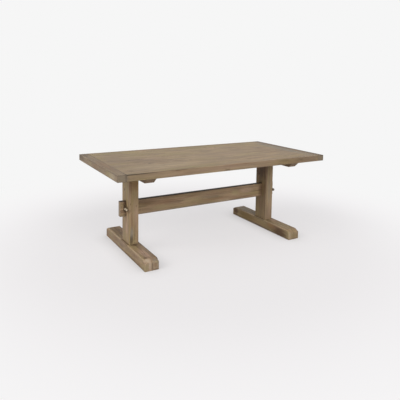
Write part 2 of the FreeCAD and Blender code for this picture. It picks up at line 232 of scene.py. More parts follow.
class Recipe:
    """The nodes of one finish or one shape, added one at a time."""

    def __init__(self, tree):
        self.tree = tree

    def node(self, kind, settings=None, inputs=None, output=0):
        """Adds a node: its settings first, then its sockets, from values or other nodes.

        A list links several nodes to one socket."""
        made = self.tree.nodes.new(kind)
        for name, setting in (settings or {}).items():
            if name == "stops":
                self.set_stops(made.color_ramp, setting)
            else:
                setattr(made, name, setting)
        for name, given in (inputs or {}).items():
            for value in given if isinstance(given, list) else [given]:
                if isinstance(value, Value):
                    self.tree.links.new(value.socket, made.inputs[name])
                else:
                    made.inputs[name].default_value = value
        return Value(self, made.outputs[output]) if made.outputs else None

    @staticmethod
    def set_stops(ramp, stops):
        while len(ramp.elements) < len(stops):
            ramp.elements.new(1.0)
        for element, (place, colour) in zip(ramp.elements, stops):
            element.position = place
            element.color = colour

    def math(self, operation, *terms):
        return self.node("ShaderNodeMath", {"operation": operation}, dict(enumerate(terms)))

    def vector_math(self, operation, *terms, output=0):
        return self.node("ShaderNodeVectorMath", {"operation": operation},
                         dict(enumerate(terms)), output)

    def split(self, vector):
        x = self.node("ShaderNodeSeparateXYZ", inputs={0: vector})
        return x, x.out("Y"), x.out("Z")

    def join(self, x, y, z):
        return self.node("ShaderNodeCombineXYZ", inputs={0: x, 1: y, 2: z})

    def rise(self, value, low, high, bottom=0.0, top=1.0):
        """A smooth change from bottom to top as the value goes from low to high."""
        return self.node("ShaderNodeMapRange", {"interpolation_type": "SMOOTHSTEP"},
                         {0: value, 1: low, 2: high, 3: bottom, 4: top})


class Finish(Recipe):
    """A material for some of the table's pieces."""

    def __init__(self, name):
        self.material = bpy.data.materials.new(name)
        self.material.use_nodes = True
        super().__init__(self.material.node_tree)
        self.tree.nodes.clear()
        self.point = self.node("ShaderNodeTexCoord", output="Object")
        self.x, self.y, self.z = self.split(self.point)

    def cloud(self, place, long, wide, detail=2.0, roughness=0.5):
        """Soft random patches from 0 to 1, so long the place's first way and so wide the
        other two, in metres."""
        scaled = self.vector_math("MULTIPLY", place, (1 / long, 1 / wide, 1 / wide))
        return self.node("ShaderNodeTexNoise", inputs={
            "Vector": scaled, "Scale": 1.0, "Detail": detail, "Roughness": roughness})

    def mix(self, under, over, share):
        return self.node("ShaderNodeMix", {"data_type": "RGBA"}, {0: share, 6: under, 7: over},
                         output=2)

    def shade(self, colour, factor):
        """A colour made darker or lighter."""
        return self.node("ShaderNodeVectorMath", {"operation": "SCALE"},
                         {0: colour, "Scale": factor})

    def seal(self, colour, roughness, height, constants=()):
        """Gathers the colour, the roughness and the height in metres into the surface."""
        normal = self.node("ShaderNodeBump", inputs={
            "Strength": 1.0, "Distance": 1.0, "Height": height})
        surface = self.node("ShaderNodeBsdfPrincipled", inputs={
            "Base Color": colour, "Roughness": roughness, "Normal": normal,
            **dict(constants)})
        self.node("ShaderNodeOutputMaterial", inputs={"Surface": surface})
        return self.material


# ---- wood

LOG_STEP = 3.17      # how far apart in the log two boards lie, in metres
LOG_BEND = 0.022     # how far the log strays from straight
LOG_TAPER = 0.014    # how much thinner it gets with each metre
PITH_ASIDE = 0.09    # how far apart two boards' piths may lie from side to side
PITH_NEAR, PITH_FAR = 0.02, 0.07    # how far below a board's own middle the pith lies


class Boards(Finish):
    """Stained wood, built up in the maker's order: sawn, stained, glazed, worn and sealed."""

    def __init__(self, name, axes, look):
        super().__init__(name)
        self.look = look
        way = {"x": self.x, "y": self.y, "z": self.z}
        self.along, self.across, self.through = (way[axis] for axis in axes)
        self.grain = tuple(1.0 if axis == axes[0] else 0.0 for axis in "xyz")

    def halves(self, distance):
        """1 on the table's right half and 0 on its left, and the middle of the pieces that
        lie this far from the table's own."""
        side = self.x > 0.0
        return side, (side - 0.5) * (2 * distance)

    def saw(self, board, middle, knots=()):
        """Gives each board its own stretch of the log by its number, and finds its rings.

        Knots are given as (along, across, radius)."""
        chance = self.node("ShaderNodeTexWhiteNoise", {"noise_dimensions": "1D"},
                           {"W": board + 0.37}, output="Color")
        pith, depth, self.tone = self.split(chance)
        inside = self.across - middle
        self.spot = self.join(self.along + board * LOG_STEP, inside, self.through)
        bend = self.cloud(self.spot, 0.45, 0.09) - 0.5
        sideways = inside - (pith - 0.5) * PITH_ASIDE + bend * LOG_BEND
        down = self.through + (depth * (PITH_FAR - PITH_NEAR) + PITH_NEAR)
        reach = (sideways * sideways + down * down) ** 0.5 + self.along * LOG_TAPER
        self.knot_mask = None
        for place, aside, radius in knots:
            near = self.knot_distance(place, aside)
            pull = radius * radius * 1.4 / (near * near + radius * radius)
            reach = reach + pull * radius
            core = self.rise(near, radius * 1.15, radius * 0.55)
            self.knot_mask = core if self.knot_mask is None else self.knot_mask.most(core)
        drift = self.cloud(self.spot, 2.0, 0.05) * (self.look.ring_spacing * 4.0)
        turn = ((reach + drift) / self.look.ring_spacing).math("FRACT")
        self.late = self.rise(turn, 0.25, 0.9) * self.rise(turn, 1.0, 0.93)
        width = self.look.fibre_width
        self.fibre = self.cloud(self.spot, 0.045, width, 2.0, 0.6)
        self.pore = self.rise(self.cloud(self.spot, 0.018, width * 0.7, 1.0), 0.6, 0.72)
        self.streak = self.cloud(self.spot, 0.34, 0.011, 3.0, 0.55)

    def knot_distance(self, place, aside):
        long_way = (self.along - place) * 0.75
        cross_way = self.across - aside
        return (long_way * long_way + cross_way * cross_way) ** 0.5

    def stain(self, tones, russet_share, long=0.42, wide=0.1):
        """The broad tones of the stain, with warm wood showing through in places."""
        broad = self.cloud(self.spot, long, wide)
        mixture = broad * 0.8 + self.tone * 0.2
        stops = [(place, getattr(self.look, tone))
                 for place, tone in zip((0.34, 0.5, 0.64), tones.split())]
        self.colour = self.node("ShaderNodeValToRGB", {"stops": stops}, {0: mixture})
        warm = self.cloud(self.spot, 0.3, 0.035, 3.0, 0.6)
        self.lay("russet", self.rise(warm, 0.5, 0.72, 0.0, russet_share))
        self.colour = self.shade(self.colour, self.rise(self.streak, 0.3, 0.7, 0.8, 1.15))

    def wash(self):
        """A thin brown wash over the whole piece."""
        self.colour = self.vector_math("MULTIPLY", self.colour, self.look.wash[:3])

    def figure(self, rings=0.2, marks=0.0):
        """The rings, fibres, pores, short dark marks and knots."""
        mark = self.rise(self.cloud(self.spot, 0.1, 0.02, 1.0), 0.62, 0.76)
        dark = 1.0 - self.late * rings - self.pore * 0.3 - mark * marks
        dark = dark * self.rise(self.fibre, 0.3, 0.7, 0.92, 1.06)
        self.colour = self.shade(self.colour, dark)
        if self.knot_mask is not None:
            self.lay("knot", self.knot_mask * 0.85)

    def sawn(self):
        """1 where the surface is cut across the grain."""
        facing = self.node("ShaderNodeTexCoord", output="Normal")
        square_on = self.vector_math("DOT_PRODUCT", facing, self.grain, output="Value")
        return self.rise(abs(square_on), 0.55, 0.8)

    def ends(self, share=0.75):
        """Sawn ends are greyer than the faces."""
        self.lay("end_grain", self.sawn() * share)

    def patches(self, start, *rows, plane=None):
        """Soft patches of other tones, one over the other, ragged along the grain.

        Each row gives a tone, its share in hundredths and then, in millimetres along x, y
        and z, its middle from the start and its size. On a plane, such as ("z", 20), the
        rows leave that way out and every patch is that thick."""
        for tone, share, *lengths in rows:
            half = len(lengths) // 2
            middle, size = lengths[:half], lengths[half:]
            if plane:
                middle.insert("xyz".index(plane[0]), 0)
                size.insert("xyz".index(plane[0]), plane[1])
            scale = tuple(1000 / length for length in size)
            offset = tuple(-(begin * 1000 + shift) / length
                           for begin, shift, length in zip(start, middle, size))
            away = self.vector_math("MULTIPLY_ADD", self.point, scale, offset)
            away = self.vector_math("LENGTH", away, output="Value")
            ragged = away + (self.streak - 0.5) * 0.8
            self.lay(tone, self.rise(ragged, 1.1, 0.3, 0.0, share / 100))

    def lay(self, tone, mask):
        """Another tone where a mask is 1."""
        self.colour = self.mix(self.colour, getattr(self.look, tone), mask)

    def glaze(self, mask):
        """Dark glaze where a mask is 1; in some places this darkening is painted shade."""
        self.lay("glaze", mask)

    def line(self, distance, width):
        """A fine line, broken a little, where a distance is near nothing."""
        ragged = self.cloud(self.point, 0.05, 0.05, 3.0, 0.6)
        return self.rise(abs(distance), width, width * 0.3) * self.rise(ragged, 0.3, 0.55)

    def from_arris(self, x_gap, y_half, z_gap):
        """How far a place on a squared piece is from its nearest edge: the middle one of its
        three gaps to the planes of its faces."""
        y_gap = y_half - abs(self.y)
        return x_gap.least(y_gap).most(x_gap.most(y_gap).least(z_gap))

    def from_top_arris(self):
        """The same for the whole top."""
        return self.from_arris(FRAME_HIGH.x - abs(self.x), FRAME_HIGH.y,
                               distance_between(self.z, TOP_UNDERSIDE, FRAME_HIGH.z))

    def from_trestle_arris(self, low, high, z_gap):
        """The same for a piece of either trestle, given as it is on the right one."""
        return self.from_arris(distance_between(abs(self.x), low.x, high.x), high.y, z_gap)

    def wear(self, gap, width, pale, dark):
        """Arrises rubbed pale in some places and holding dark glaze in others."""
        where = self.cloud(self.point, 0.4, 0.4)
        nibble = (self.cloud(self.point, 0.03, 0.03) - 0.5) * (width * 0.5)
        near = self.rise(gap + nibble, width, width * 0.3)
        self.lay("worn", near * self.rise(where, 0.45, 0.62, 0.0, pale))
        self.glaze(near * self.rise(where, 0.54, 0.38, 0.0, dark))

    def finish(self):
        """Matt, a little brighter on the hard rings, with the soft grain brushed out."""
        depth = self.look.grain_depth
        height = (self.late * 0.5 + self.fibre * 0.5 - self.pore) * depth
        if self.knot_mask is not None:
            height = height + self.knot_mask * depth
        rough = 0.66 - self.late * 0.08 + self.pore * 0.12
        rough = rough + (self.streak - 0.5) * 0.15
        return self.seal(self.colour, rough, height, {"Specular IOR Level": 0.35})


def distance_between(value, low, high):
    """How far a value is inside a range, from its nearer end."""
    return (value - low).least(high - value)


def plank_wood(look):
    """Seven wide boards, read as one quiet surface with soft streaks along it."""
    wood = Boards("plank_wood", "xyz", look)
    half = FRAME_HIGH.y
    board = ((wood.y + half) / PLANK_PITCH).math("FLOOR")
    knots = [(-0.604, -0.166, 0.011), (-0.235, -0.175, 0.01), (-0.705, 0.022, 0.009),
             (-0.775, -0.124, 0.006), (0.707, 0.12, 0.01), (0.31, 0.3, 0.009)]
    wood.saw(board, board * PLANK_PITCH - (half - PLANK_PITCH / 2), knots)
    wood.stain("taupe tan olive", 0.4)
    front, top = FRAME_LOW.y, FRAME_HIGH.z
    wood.patches(
        (0.0, 0.0, top),
        ("olive", 55, -890, 200, 50, 130), ("olive", 50, -420, 290, 280, 70),
        ("olive", 40, -800, -250, 200, 50), ("olive", 40, -80, -180, 120, 100),
        ("olive", 50, 500, 390, 250, 60), ("olive", 40, 450, -140, 150, 80),
        ("olive", 50, 720, -420, 80, 40), ("taupe", 80, -800, 130, 120, 80),
        ("taupe", 50, -560, -410, 250, 45), ("worn", 55, -500, -300, 400, 140),
        ("worn", 20, 100, 0, 600, 400), ("taupe", 80, 100, 150, 100, 90),
        ("taupe", 90, 710, 120, 100, 90), ("taupe", 70, 820, -80, 120, 140),
        ("silver", 70, 890, 0, 80, 600), ("rose", 40, -430, 390, 100, 40),
        ("rose", 40, -520, 30, 130, 50), ("rose", 45, 240, 275, 130, 50),
        ("rose", 30, 220, -80, 120, 100), ("rose", 30, 300, -380, 400, 50),
        plane=("z", 30))
    wood.patches(
        (0.0, 0.0, top),
        ("umber", 40, -610, 30, 70, 20), ("umber", 40, -690, -100, 50, 18),
        ("umber", 45, -333, -155, 70, 18), ("umber", 40, -497, -210, 80, 18),
        ("umber", 40, -220, -20, 90, 20), ("umber", 40, -776, 320, 60, 20),
        plane=("z", 20))
    wood.patches((0.0, 0.0, top), ("umber", 32, 100, 480, 1300, 70), plane=("z", 30))
    wood.patches(
        (0.0, front, top),
        ("russet", 40, -500, 0, 0, 120, 30, 15), ("rose", 35, -150, 0, -17, 300, 50, 20),
        ("russet", 35, 80, 0, 0, 160, 30, 15), ("olive", 80, 500, 0, -27, 180, 60, 30),
        ("moss", 50, 600, 0, -27, 220, 60, 30), ("glaze", 25, 780, 0, -27, 260, 60, 40),
        ("olive", 60, 914, 0, -27, 12, 20, 40), ("silver", 50, -920, 0, -22, 12, 30, 40))
    wood.figure(rings=0.22, marks=0.3)
    wood.ends()
    beside = (wood.y / PLANK_PITCH + 0.5).math("FRACT") * PLANK_PITCH - PLANK_PITCH / 2
    seams = wood.line(PLANK_PITCH / 2 - abs(beside), 0.0022) * 0.4
    seams = seams * (abs(wood.y) < half - 0.01)
    joint = wood.line(abs(wood.x) - SEAM_X, 0.0035) * 0.75
    wood.glaze(seams.most(joint))
    gap = wood.from_top_arris()
    wood.wear(gap, width=0.004, pale=0.35, dark=0.5)
    # Painted shade: the top's front and back edges are darkened.
    painted_shade_long_edge = wood.rise(half - abs(wood.y), 0.006, 0.002)
    wood.lay("umber", painted_shade_long_edge * 0.28)
    front_left = wood.rise(wood.x, -0.58, -0.82) * (wood.y < 0.0) * (wood.z > 0.74)
    wood.glaze(wood.rise(gap, 0.009, 0.003, 0.0, 0.85) * front_left)
    return wood.finish()


def breadboard_wood(look):
    """The two end boards, a little greyer, with their grain across the table."""
    wood = Boards("breadboard_wood", "yxz", look)
    side, middle = wood.halves((SEAM_X + FRAME_HIGH.x) / 2)
    board = side * 5.0 + 20.0
    wood.saw(board, middle, [(-0.14, -0.98, 0.008), (0.22, 0.975, 0.008)])
    wood.stain("taupe taupe tan", 0.3)
    wood.colour = wood.shade(wood.colour, 0.93)
    left, right, front, top = FRAME_LOW.x, FRAME_HIGH.x, FRAME_LOW.y, FRAME_HIGH.z
    wood.patches(
        (left, 0.0, top),
        ("russet", 40, 40, -100, 0, 50, 300, 30), ("olive", 90, 0, -320, -27, 60, 130, 30),
        ("bare", 30, 0, -380, -27, 30, 100, 30), ("russet", 40, 0, 20, -27, 50, 100, 30),
        ("olive", 60, 0, 160, -27, 60, 50, 30), ("glaze", 50, 0, 460, 0, 80, 160, 60))
    wood.patches(
        (left, front, top),
        ("end_grain", 70, 30, -22, 50, 30), ("glaze", 35, 66, -12, 20, 30),
        plane=("y", 20))
    wood.patches(
        (right, front, top),
        ("umber", 50, -45, -27, 20, 20), ("umber", 25, -35, -27, 60, 60),
        ("glaze", 75, 0, -27, 30, 80),
        plane=("y", 20))
    wood.figure(rings=0.18, marks=0.1)
    wood.ends(0.6)
    wood.glaze(wood.line(abs(wood.x) - SEAM_X, 0.0035) * 0.75)
    beside_seam = wood.rise(abs(wood.x) - SEAM_X, 0.016, 0.006, 0.0, 0.35)
    wood.glaze(beside_seam * (wood.y < front + 0.02) * (1.0 - side))
    wood.wear(wood.from_top_arris(), width=0.004, pale=0.3, dark=0.6)
    wood.glaze(wood.rise(wood.x, SEAM_X + 0.01, right - 0.025, 0.0, 0.6)
               * (wood.z > top - 0.004))
    return wood.finish()


def foot_wood(look):
    """Each foot is two boards face to face, with its bevels rubbed pale, and painted shade round
    the post and along the floor.
    """
    wood = Boards("foot_wood", "yxz", look)
    side, middle = wood.halves(TRESTLE_X)
    outer = abs(wood.x) > TRESTLE_X
    board = side * 2.0 + outer + 31.0
    wood.saw(board, middle, [(0.3, -0.69, 0.01), (0.1, 0.73, 0.01)])
    wood.stain("taupe tan olive", 0.5, 0.3, 0.07)
    wood.wash()
    front, top = FOOT_LOW.y, FOOT_HIGH.z
    wood.patches(
        (-TRESTLE_X, 0.0, top),
        ("rose", 100, 0, -300, 0, 45, 130, 20), ("taupe", 70, 35, -240, 0, 20, 120, 20),
        ("umber", 55, -30, -385, 0, 22, 24, 10), ("olive", 90, -10, -118, 0, 40, 50, 20),
        ("umber", 60, -10, -103, 0, 30, 30, 20), ("rose", 80, -30, -422.5, -10, 45, 40, 24),
        ("bare", 45, -28, -420.5, -8, 30, 30, 16), ("silver", 60, 38, -432.5, -15, 40, 30, 25),
        ("umber", 35, 12, -110, 0, 45, 45, 20), ("umber", 40, 0, 300, 0, 60, 200, 20))
    # The umber row along the bottom of this side is painted shadow where the foot meets the
    # floor.
    wood.patches(
        (-FOOT_HIGH.x, 0.0, 0.0),
        ("taupe", 80, 120, 50, 300, 50), ("russet", 50, 200, 50, 90, 30),
        ("rose", 70, 0, 83, 40, 20), ("rose", 60, -280, 83, 50, 20),
        ("olive", 80, -400, 20, 60, 30), ("olive", 90, 115, 25, 35, 20),
        ("olive", 90, 320, 55, 45, 20), ("umber", 55, -100, 0, 500, 22),
        ("umber", 10, 0, 40, 700, 100), ("umber", 35, 60, 40, 70, 20),
        ("worn", 40, -360, 60, 60, 20),
        plane=("x", 20))
    wood.patches(
        (-TRESTLE_X, front, 0.0),
        ("worn", 35, 0, 50, 80, 70), ("moss", 70, -50, 12, 22, 24),
        ("olive", 70, -48, 25, 26, 35), ("rose", 100, -16, 40, 14, 60),
        ("bare", 40, -18, 50, 10, 50), ("umber", 60, 4, 30, 7, 50),
        ("olive", 70, 38, 50, 20, 30), ("russet", 85, 28, 40, 18, 22),
        ("umber", 55, 30, 4, 40, 12),
        plane=("y", 20))
    # The glaze row along the bottom of this side is painted shadow where the foot meets the
    # floor.
    wood.patches(
        (FOOT_LOW.x, 0.0, 0.0),
        ("olive", 60, -20, 60, 180, 50), ("moss", 90, 200, 50, 180, 50),
        ("amber", 30, 60, 50, 250, 40), ("umber", 90, -320, 35, 130, 50),
        ("olive", 60, -430, 40, 30, 50), ("russet", 100, -190, 60, 80, 35),
        ("amber", 50, -180, 60, 60, 25), ("glaze", 55, -50, 0, 500, 20),
        ("umber", 90, 390, 50, 60, 60),
        plane=("x", 20))
    # The umber patch just in front of the right post is painted shade round its foot.
    wood.patches(
        (TRESTLE_X, 0.0, top),
        ("olive", 80, 0, -290, 60, 100), ("worn", 35, -10, -340, 45, 100),
        ("umber", 40, -30, -128, 30, 50), ("rose", 40, 20, -118, 30, 50),
        ("silver", 75, 0, 260, 60, 200), ("worn", 30, 0, 220, 60, 200),
        plane=("z", 20))
    # The wide umber row at the bottom of this end is painted shadow where the foot meets the
    # floor.
    wood.patches(
        (TRESTLE_X, front, 0.0),
        ("moss", 70, 10, 0, 35, 45, 20, 40), ("worn", 20, 10, 0, 60, 30, 20, 20),
        ("bare", 30, -44, 0, 45, 10, 30, 50), ("umber", 55, 0, 0, 0, 80, 20, 16),
        ("umber", 60, 57, 0, 40, 16, 20, 60))
    wood.figure(rings=0.22)
    wood.ends(0.3)
    wood.glaze(wood.line(abs(wood.x) - TRESTLE_X, 0.002) * 0.7)
    gap = wood.from_trestle_arris(FOOT_LOW, FOOT_HIGH, top - wood.z)
    wood.wear(gap, width=0.008, pale=0.4, dark=0.3)
    to_right = wood.x - middle
    arris = wood.rise(gap, 0.012, 0.005) * (wood.z > top - 0.012)
    beside_post = abs(wood.y) < POST_HIGH.y
    wood.lay("worn", arris * (to_right < -0.04) * (0.42 - beside_post * 0.42))
    # Beside the post the arris is also darkened, as painted shade on the narrow ledge there.
    wood.glaze(arris * ((to_right > 0.04) * (0.9 - side * 0.4)).most(beside_post * 0.35))
    # Painted shade on the foot's top round the post: a band in front of and behind it, and the
    # ledge beside it.
    post_side = (abs(wood.x) - POST_LOW.x).least(POST_HIGH.x - abs(wood.x))
    shade_before_post = abs(wood.y) - POST_HIGH.y
    on_top = wood.z > top - 0.003
    wood.glaze(wood.rise(shade_before_post, 0.026, 0.002, 0.0, 0.55) * on_top
               * wood.rise(post_side, -0.004, 0.012))
    wood.glaze(wood.rise(-post_side, 0.012, 0.003, 0.0, 0.7) * beside_post * on_top)
    return wood.finish()


def post_wood(look):
    """The posts, with upright streaks, a dark stain at the left one's foot, and painted shade by
    the top and the left peg.
    """
    wood = Boards("post_wood", "zyx", look)
    side = wood.x > 0.0
    board = side * 3.0 + 43.0
    wood.saw(board, middle=0.0, knots=[(0.52, 0.03, 0.009)])
    wood.stain("taupe tan olive", 0.4, 0.3, 0.05)
    wood.wash()
    wood.patches(
        (-TRESTLE_X, POST_LOW.y, 0.0),
        ("russet", 80, -22, 600, 26, 130), ("moss", 60, 12, 670, 24, 70),
        ("amber", 85, 15, 620, 45, 120), ("russet", 50, 12, 570, 30, 45),
        ("amber", 50, 36, 580, 14, 100), ("tan", 70, 10, 380, 30, 140),
        ("moss", 25, 0, 420, 50, 140), ("rose", 40, 25, 300, 22, 150),
        ("umber", 18, 0, 200, 60, 130), ("umber", 40, -30, 420, 8, 12),
        ("umber", 35, 22, 400, 8, 12), ("silver", 70, -18, 173, 24, 70),
        ("glaze", 55, -20, 118, 24, 50), ("olive", 80, 5, 93, 20, 30),
        ("umber", 40, 5, 83, 20, 20),
        plane=("y", 20))
    # On the left post's outer face, the two umber patches beside the peg are its painted shadow.
    wood.patches(
        (-POST_HIGH.x, 0.0, 0.0),
        ("olive", 50, 0, -30, 530, 20, 30, 60), ("olive", 50, 0, 30, 600, 20, 70, 120),
        ("rose", 70, 0, -25, 210, 20, 30, 70), ("olive", 50, 0, 0, 130, 20, 80, 50),
        ("umber", 60, 0, -40, 370, 10, 22, 35), ("umber", 60, 0, -78, 360, 16, 25, 25))
    # On the right post's inner face, the large umber patch high up is painted shade under the
    # top.
    wood.patches(
        (POST_LOW.x, 0.0, 0.0),
        ("umber", 90, 0, 600, 140, 200), ("russet", 40, 0, 250, 50, 120),
        plane=("x", 20))
    wood.patches(
        (TRESTLE_X, POST_LOW.y, 0.0),
        ("silver", 70, 0, 340, 14, 140), ("rose", 50, 20, 480, 12, 120),
        ("taupe", 50, 0, 350, 60, 200), ("taupe", 70, 0, 150, 60, 100),
        ("umber", 30, 0, 150, 60, 120), ("umber", 35, -36, 350, 12, 300),
        ("rose", 30, 10, 190, 14, 100), ("umber", 50, -20, 660, 50, 90),
        plane=("y", 20))
    wood.figure(rings=0.2)
    wood.ends(0.6)
    wood.wear(wood.from_trestle_arris(POST_LOW, POST_HIGH, 1.0), width=0.004, pale=0.4, dark=0.3)
    return wood.finish()


def beam_wood(look):
    """The beams under the top, darkened all over as painted shade."""
    wood = Boards("beam_wood", "yxz", look)
    side, middle = wood.halves(TRESTLE_X)
    board = side * 4.0 + 57.0
    wood.saw(board, middle)
    wood.stain("olive tan olive", 0.3, 0.3, 0.06)
    wood.wash()
    wood.figure(rings=0.22)
    # Painted shade: the whole beam is darkened, as it sits under the top.
    wood.lay("umber", 0.5)
    gap = wood.from_trestle_arris(BEAM_LOW, BEAM_HIGH, wood.z - BEAM_LOW.z)
    wood.wear(gap, width=0.006, pale=0.3, dark=0.6)
    return wood.finish()


def stretcher_wood(look):
    """The stretcher, warm brown, with painted shade on its top, at its ends by the posts and high
    on its left half.
    """
    wood = Boards("stretcher_wood", "xzy", look)
    middle = (STRETCHER_LOW.z + STRETCHER_HIGH.z) / 2
    wood.saw(board=63.0, middle=middle)
    wood.stain("taupe tan olive", 0.6, 0.35, 0.06)
    wood.wash()
    bottom, top = STRETCHER_LOW.z, STRETCHER_HIGH.z
    # The umber rows at -570 and -200 along, high on the left half, are painted shade under the
    # top; the one at 650, by the right post, is painted shade too.
    wood.patches(
        (0.0, STRETCHER_LOW.y, 0.0),
        ("umber", 50, -570, 410, 160, 45), ("umber", 30, -200, 425, 500, 30),
        ("umber", 22, -420, 370, 300, 80), ("umber", 9, 0, 370, 900, 120),
        ("russet", 50, -360, 390, 160, 30), ("olive", 60, -430, 345, 120, 30),
        ("olive", 50, -140, 370, 120, 30), ("taupe", 70, 100, 385, 200, 30),
        ("russet", 50, 120, 400, 160, 30), ("umber", 15, 110, 350, 100, 20),
        ("worn", 20, 90, 415, 150, 20), ("silver", 40, -50, 312, 900, 12),
        ("worn", 40, 220, 325, 100, 15), ("worn", 35, 340, 355, 70, 15),
        ("olive", 90, 340, 380, 60, 30), ("rose", 70, 470, 385, 100, 30),
        ("umber", 70, 650, 370, 50, 90),
        plane=("y", 30))
    # The umber row, on the left tenon's front face beside the post, is painted shade.
    wood.patches(
        (STRETCHER_LOW.x, 0.0, middle),
        ("rose", 50, 0, 0, 0, 10, 40, 90), ("silver", 50, 0, 0, 0, 10, 40, 90),
        ("worn", 25, 0, 0, 0, 10, 40, 90), ("umber", 80, 47, -15, 30, 22, 10, 80))
    wood.figure(rings=0.24)
    wood.ends(0.4)
    # Painted shade: the top face and the top edge are darkened, as they lie under the tabletop.
    wood.glaze(wood.rise(wood.z, top - 0.004, top - 0.001, 0.0, 0.95))
    wood.glaze(wood.rise(wood.z, bottom + 0.008, bottom + 0.002, 0.0, 0.4))
    # Painted shade on the tenons' front faces next to the posts.
    shade_past_post = abs(wood.x) - POST_HIGH.x
    wood.glaze(wood.rise(shade_past_post, 0.036, 0.004, 0.0, 0.35) * (shade_past_post > 0.0)
               * (wood.y < -0.01))
    return wood.finish()


def peg_wood(look):
    """The two round pegs, darkened all over as painted shade, with a painted highlight on their
    ends and upper sides, mostly on the left one.
    """
    wood = Boards("peg_wood", "yxz", look)
    side, middle = wood.halves(PEG_MIDDLE.x)
    board = side * 6.0 + 71.0
    wood.saw(board, middle)
    wood.stain("taupe russet taupe", 0.4, 0.08, 0.02)
    wood.figure(rings=0.2)
    # Painted shade: the whole peg is darkened.
    wood.glaze(0.7)
    aside = wood.x - middle
    above = wood.z - PEG_MIDDLE.z
    from_middle = (aside * aside + above * above) ** 0.5
    end = wood.sawn()
    # Painted highlight: the middle of each end and the upper left side near the tip are made
    # pale.
    painted_end_highlight = wood.rise(from_middle, PEG_RADIUS * 0.85, PEG_RADIUS * 0.4)
    painted_lit_side = wood.rise(above - aside, PEG_RADIUS * 0.85, PEG_RADIUS * 1.25, 0.0, 0.8)
    painted_lit_side = painted_lit_side * wood.rise(wood.y, LEFT_PEG_TIP + 0.03, LEFT_PEG_TIP + 0.02)
    pale = (end * painted_end_highlight).most((1.0 - end) * painted_lit_side)
    wood.lay("bare", pale * (1.0 - side * 0.75))
    return wood.finish()


def pin_wood(look):
    """The breadboards' pins, seen as small squares under the top."""
    wood = Boards("pin_wood", "zxy", look)
    board = (wood.y * 30.0).math("FLOOR") + 80.0
    wood.saw(board, middle=0.0)
    wood.stain("taupe tan tan", 0.4, 0.05, 0.02)
    wood.figure(rings=0.2)
    wood.ends(0.6)
    return wood.finish()


# ---- steel and nylon

def zinc_plate(hardware):
    """Plated steel: a faint spangle, fine brushing and dull spots."""
    steel = Finish("zinc_plate")
    spangles_to_a_metre = 420.0
    spangle = steel.node("ShaderNodeTexVoronoi", inputs={
        "Vector": steel.point, "Scale": spangles_to_a_metre}, output="Color")
    grey = steel.split(spangle)[0]
    dull = steel.cloud(steel.point, 0.006, 0.006, 3.0, 0.6)
    fine = steel.cloud(steel.point, 0.0004, 0.0004, 1.0)
    colour = steel.mix(hardware.zinc, hardware.tarnish, steel.rise(dull, 0.52, 0.72, 0.0, 0.6))
    colour = steel.shade(colour, grey * 0.16 + 0.86)
    rough = steel.rise(dull, 0.35, 0.65, 0.3, 0.55) + grey * 0.05
    brushing = fine * 0.00003
    return steel.seal(colour, rough, brushing, {"Metallic": 1.0})


def leveller_nylon(hardware):
    """Black nylon with the fine skin of its mould and dust in the low places."""
    nylon = Finish("leveller_nylon")
    dust = nylon.cloud(nylon.point, 0.01, 0.01, 3.0, 0.6)
    skin = nylon.cloud(nylon.point, 0.0005, 0.0005)
    colour = nylon.mix(hardware.nylon, hardware.dust, nylon.rise(dust, 0.5, 0.75, 0.0, 0.4))
    rough = nylon.rise(dust, 0.35, 0.7, 0.42, 0.7)
    return nylon.seal(colour, rough, skin * 0.00006)


# ---- shapes that follow a rule

def socket_name(key):
    """A shape's input as its tree shows it: head_height is Head Height."""
    return key.replace("_", " ").title()


def new_shape(name, **inputs):
    """An empty Geometry Nodes tree with named inputs; gives its recipe and its inputs.

    An input is given by its default, or by its kind if it has none."""
    tree = bpy.data.node_groups.new(name, "GeometryNodeTree")
    tree.interface.new_socket("Geometry", in_out="OUTPUT", socket_type="NodeSocketGeometry")
    for key, default in inputs.items():
        kind = default if isinstance(default, str) else type(default).__name__.capitalize()
        socket = tree.interface.new_socket(socket_name(key), in_out="INPUT",
                                           socket_type="NodeSocket" + kind)
        if kind != default:
            socket.default_value = default
    shape = Recipe(tree)
    group = shape.node("NodeGroupInput")
    return shape, SimpleNamespace(**{key: group.out(socket_name(key)) for key in inputs})


def end_shape(shape, geometry, material, place, rotation=(0.0, 0.0, 0.0)):
    """Every shape ends in its place, as plain geometry with its material on it."""
    placed = shape.node("GeometryNodeTransform", inputs={
        "Geometry": geometry, "Translation": place, "Rotation": rotation})
    realized = shape.node("GeometryNodeRealizeInstances", inputs={"Geometry": placed})
    covered = shape.node("GeometryNodeSetMaterial", inputs={
        "Geometry": realized, "Material": material})
    shape.node("NodeGroupOutput", inputs={"Geometry": covered})
    return shape.tree


def round_bar(shape, sides, rings, low, high, radius_rule, flatten=None):
    """An upright bar from height low to high, whose radius a rule gives for angle and height."""
    bar = shape.node("GeometryNodeMeshCylinder", inputs={
        "Vertices": sides, "Side Segments": rings, "Radius": 1.0, "Depth": high - low},
        output="Mesh")
    x, y, z = shape.split(shape.node("GeometryNodeInputPosition"))
    height = z + (low + high) / 2
    angle = shape.math("ARCTAN2", y, x)
    radius = radius_rule(angle, height)
    x, y = x * radius, y * radius
    if flatten:
        y = flatten(y, height)
    return shape.node("GeometryNodeSetPosition", inputs={
        "Geometry": bar, "Position": shape.join(x, y, height)})


def thread_rule(radius, depth, pitch, low, high):
    """The radius of a screw thread, let down to its root at both ends."""
    def rule(angle, height):
        turn = (height / pitch - angle / (2 * math.pi)).math("FRACT")
        tooth = 1.0 - abs(turn * 2.0 - 1.0)
        lead = (height - low).least(high - height).most(0.0)
        crest = radius - depth + tooth * depth
        return crest.least(radius - depth + lead)
    return rule


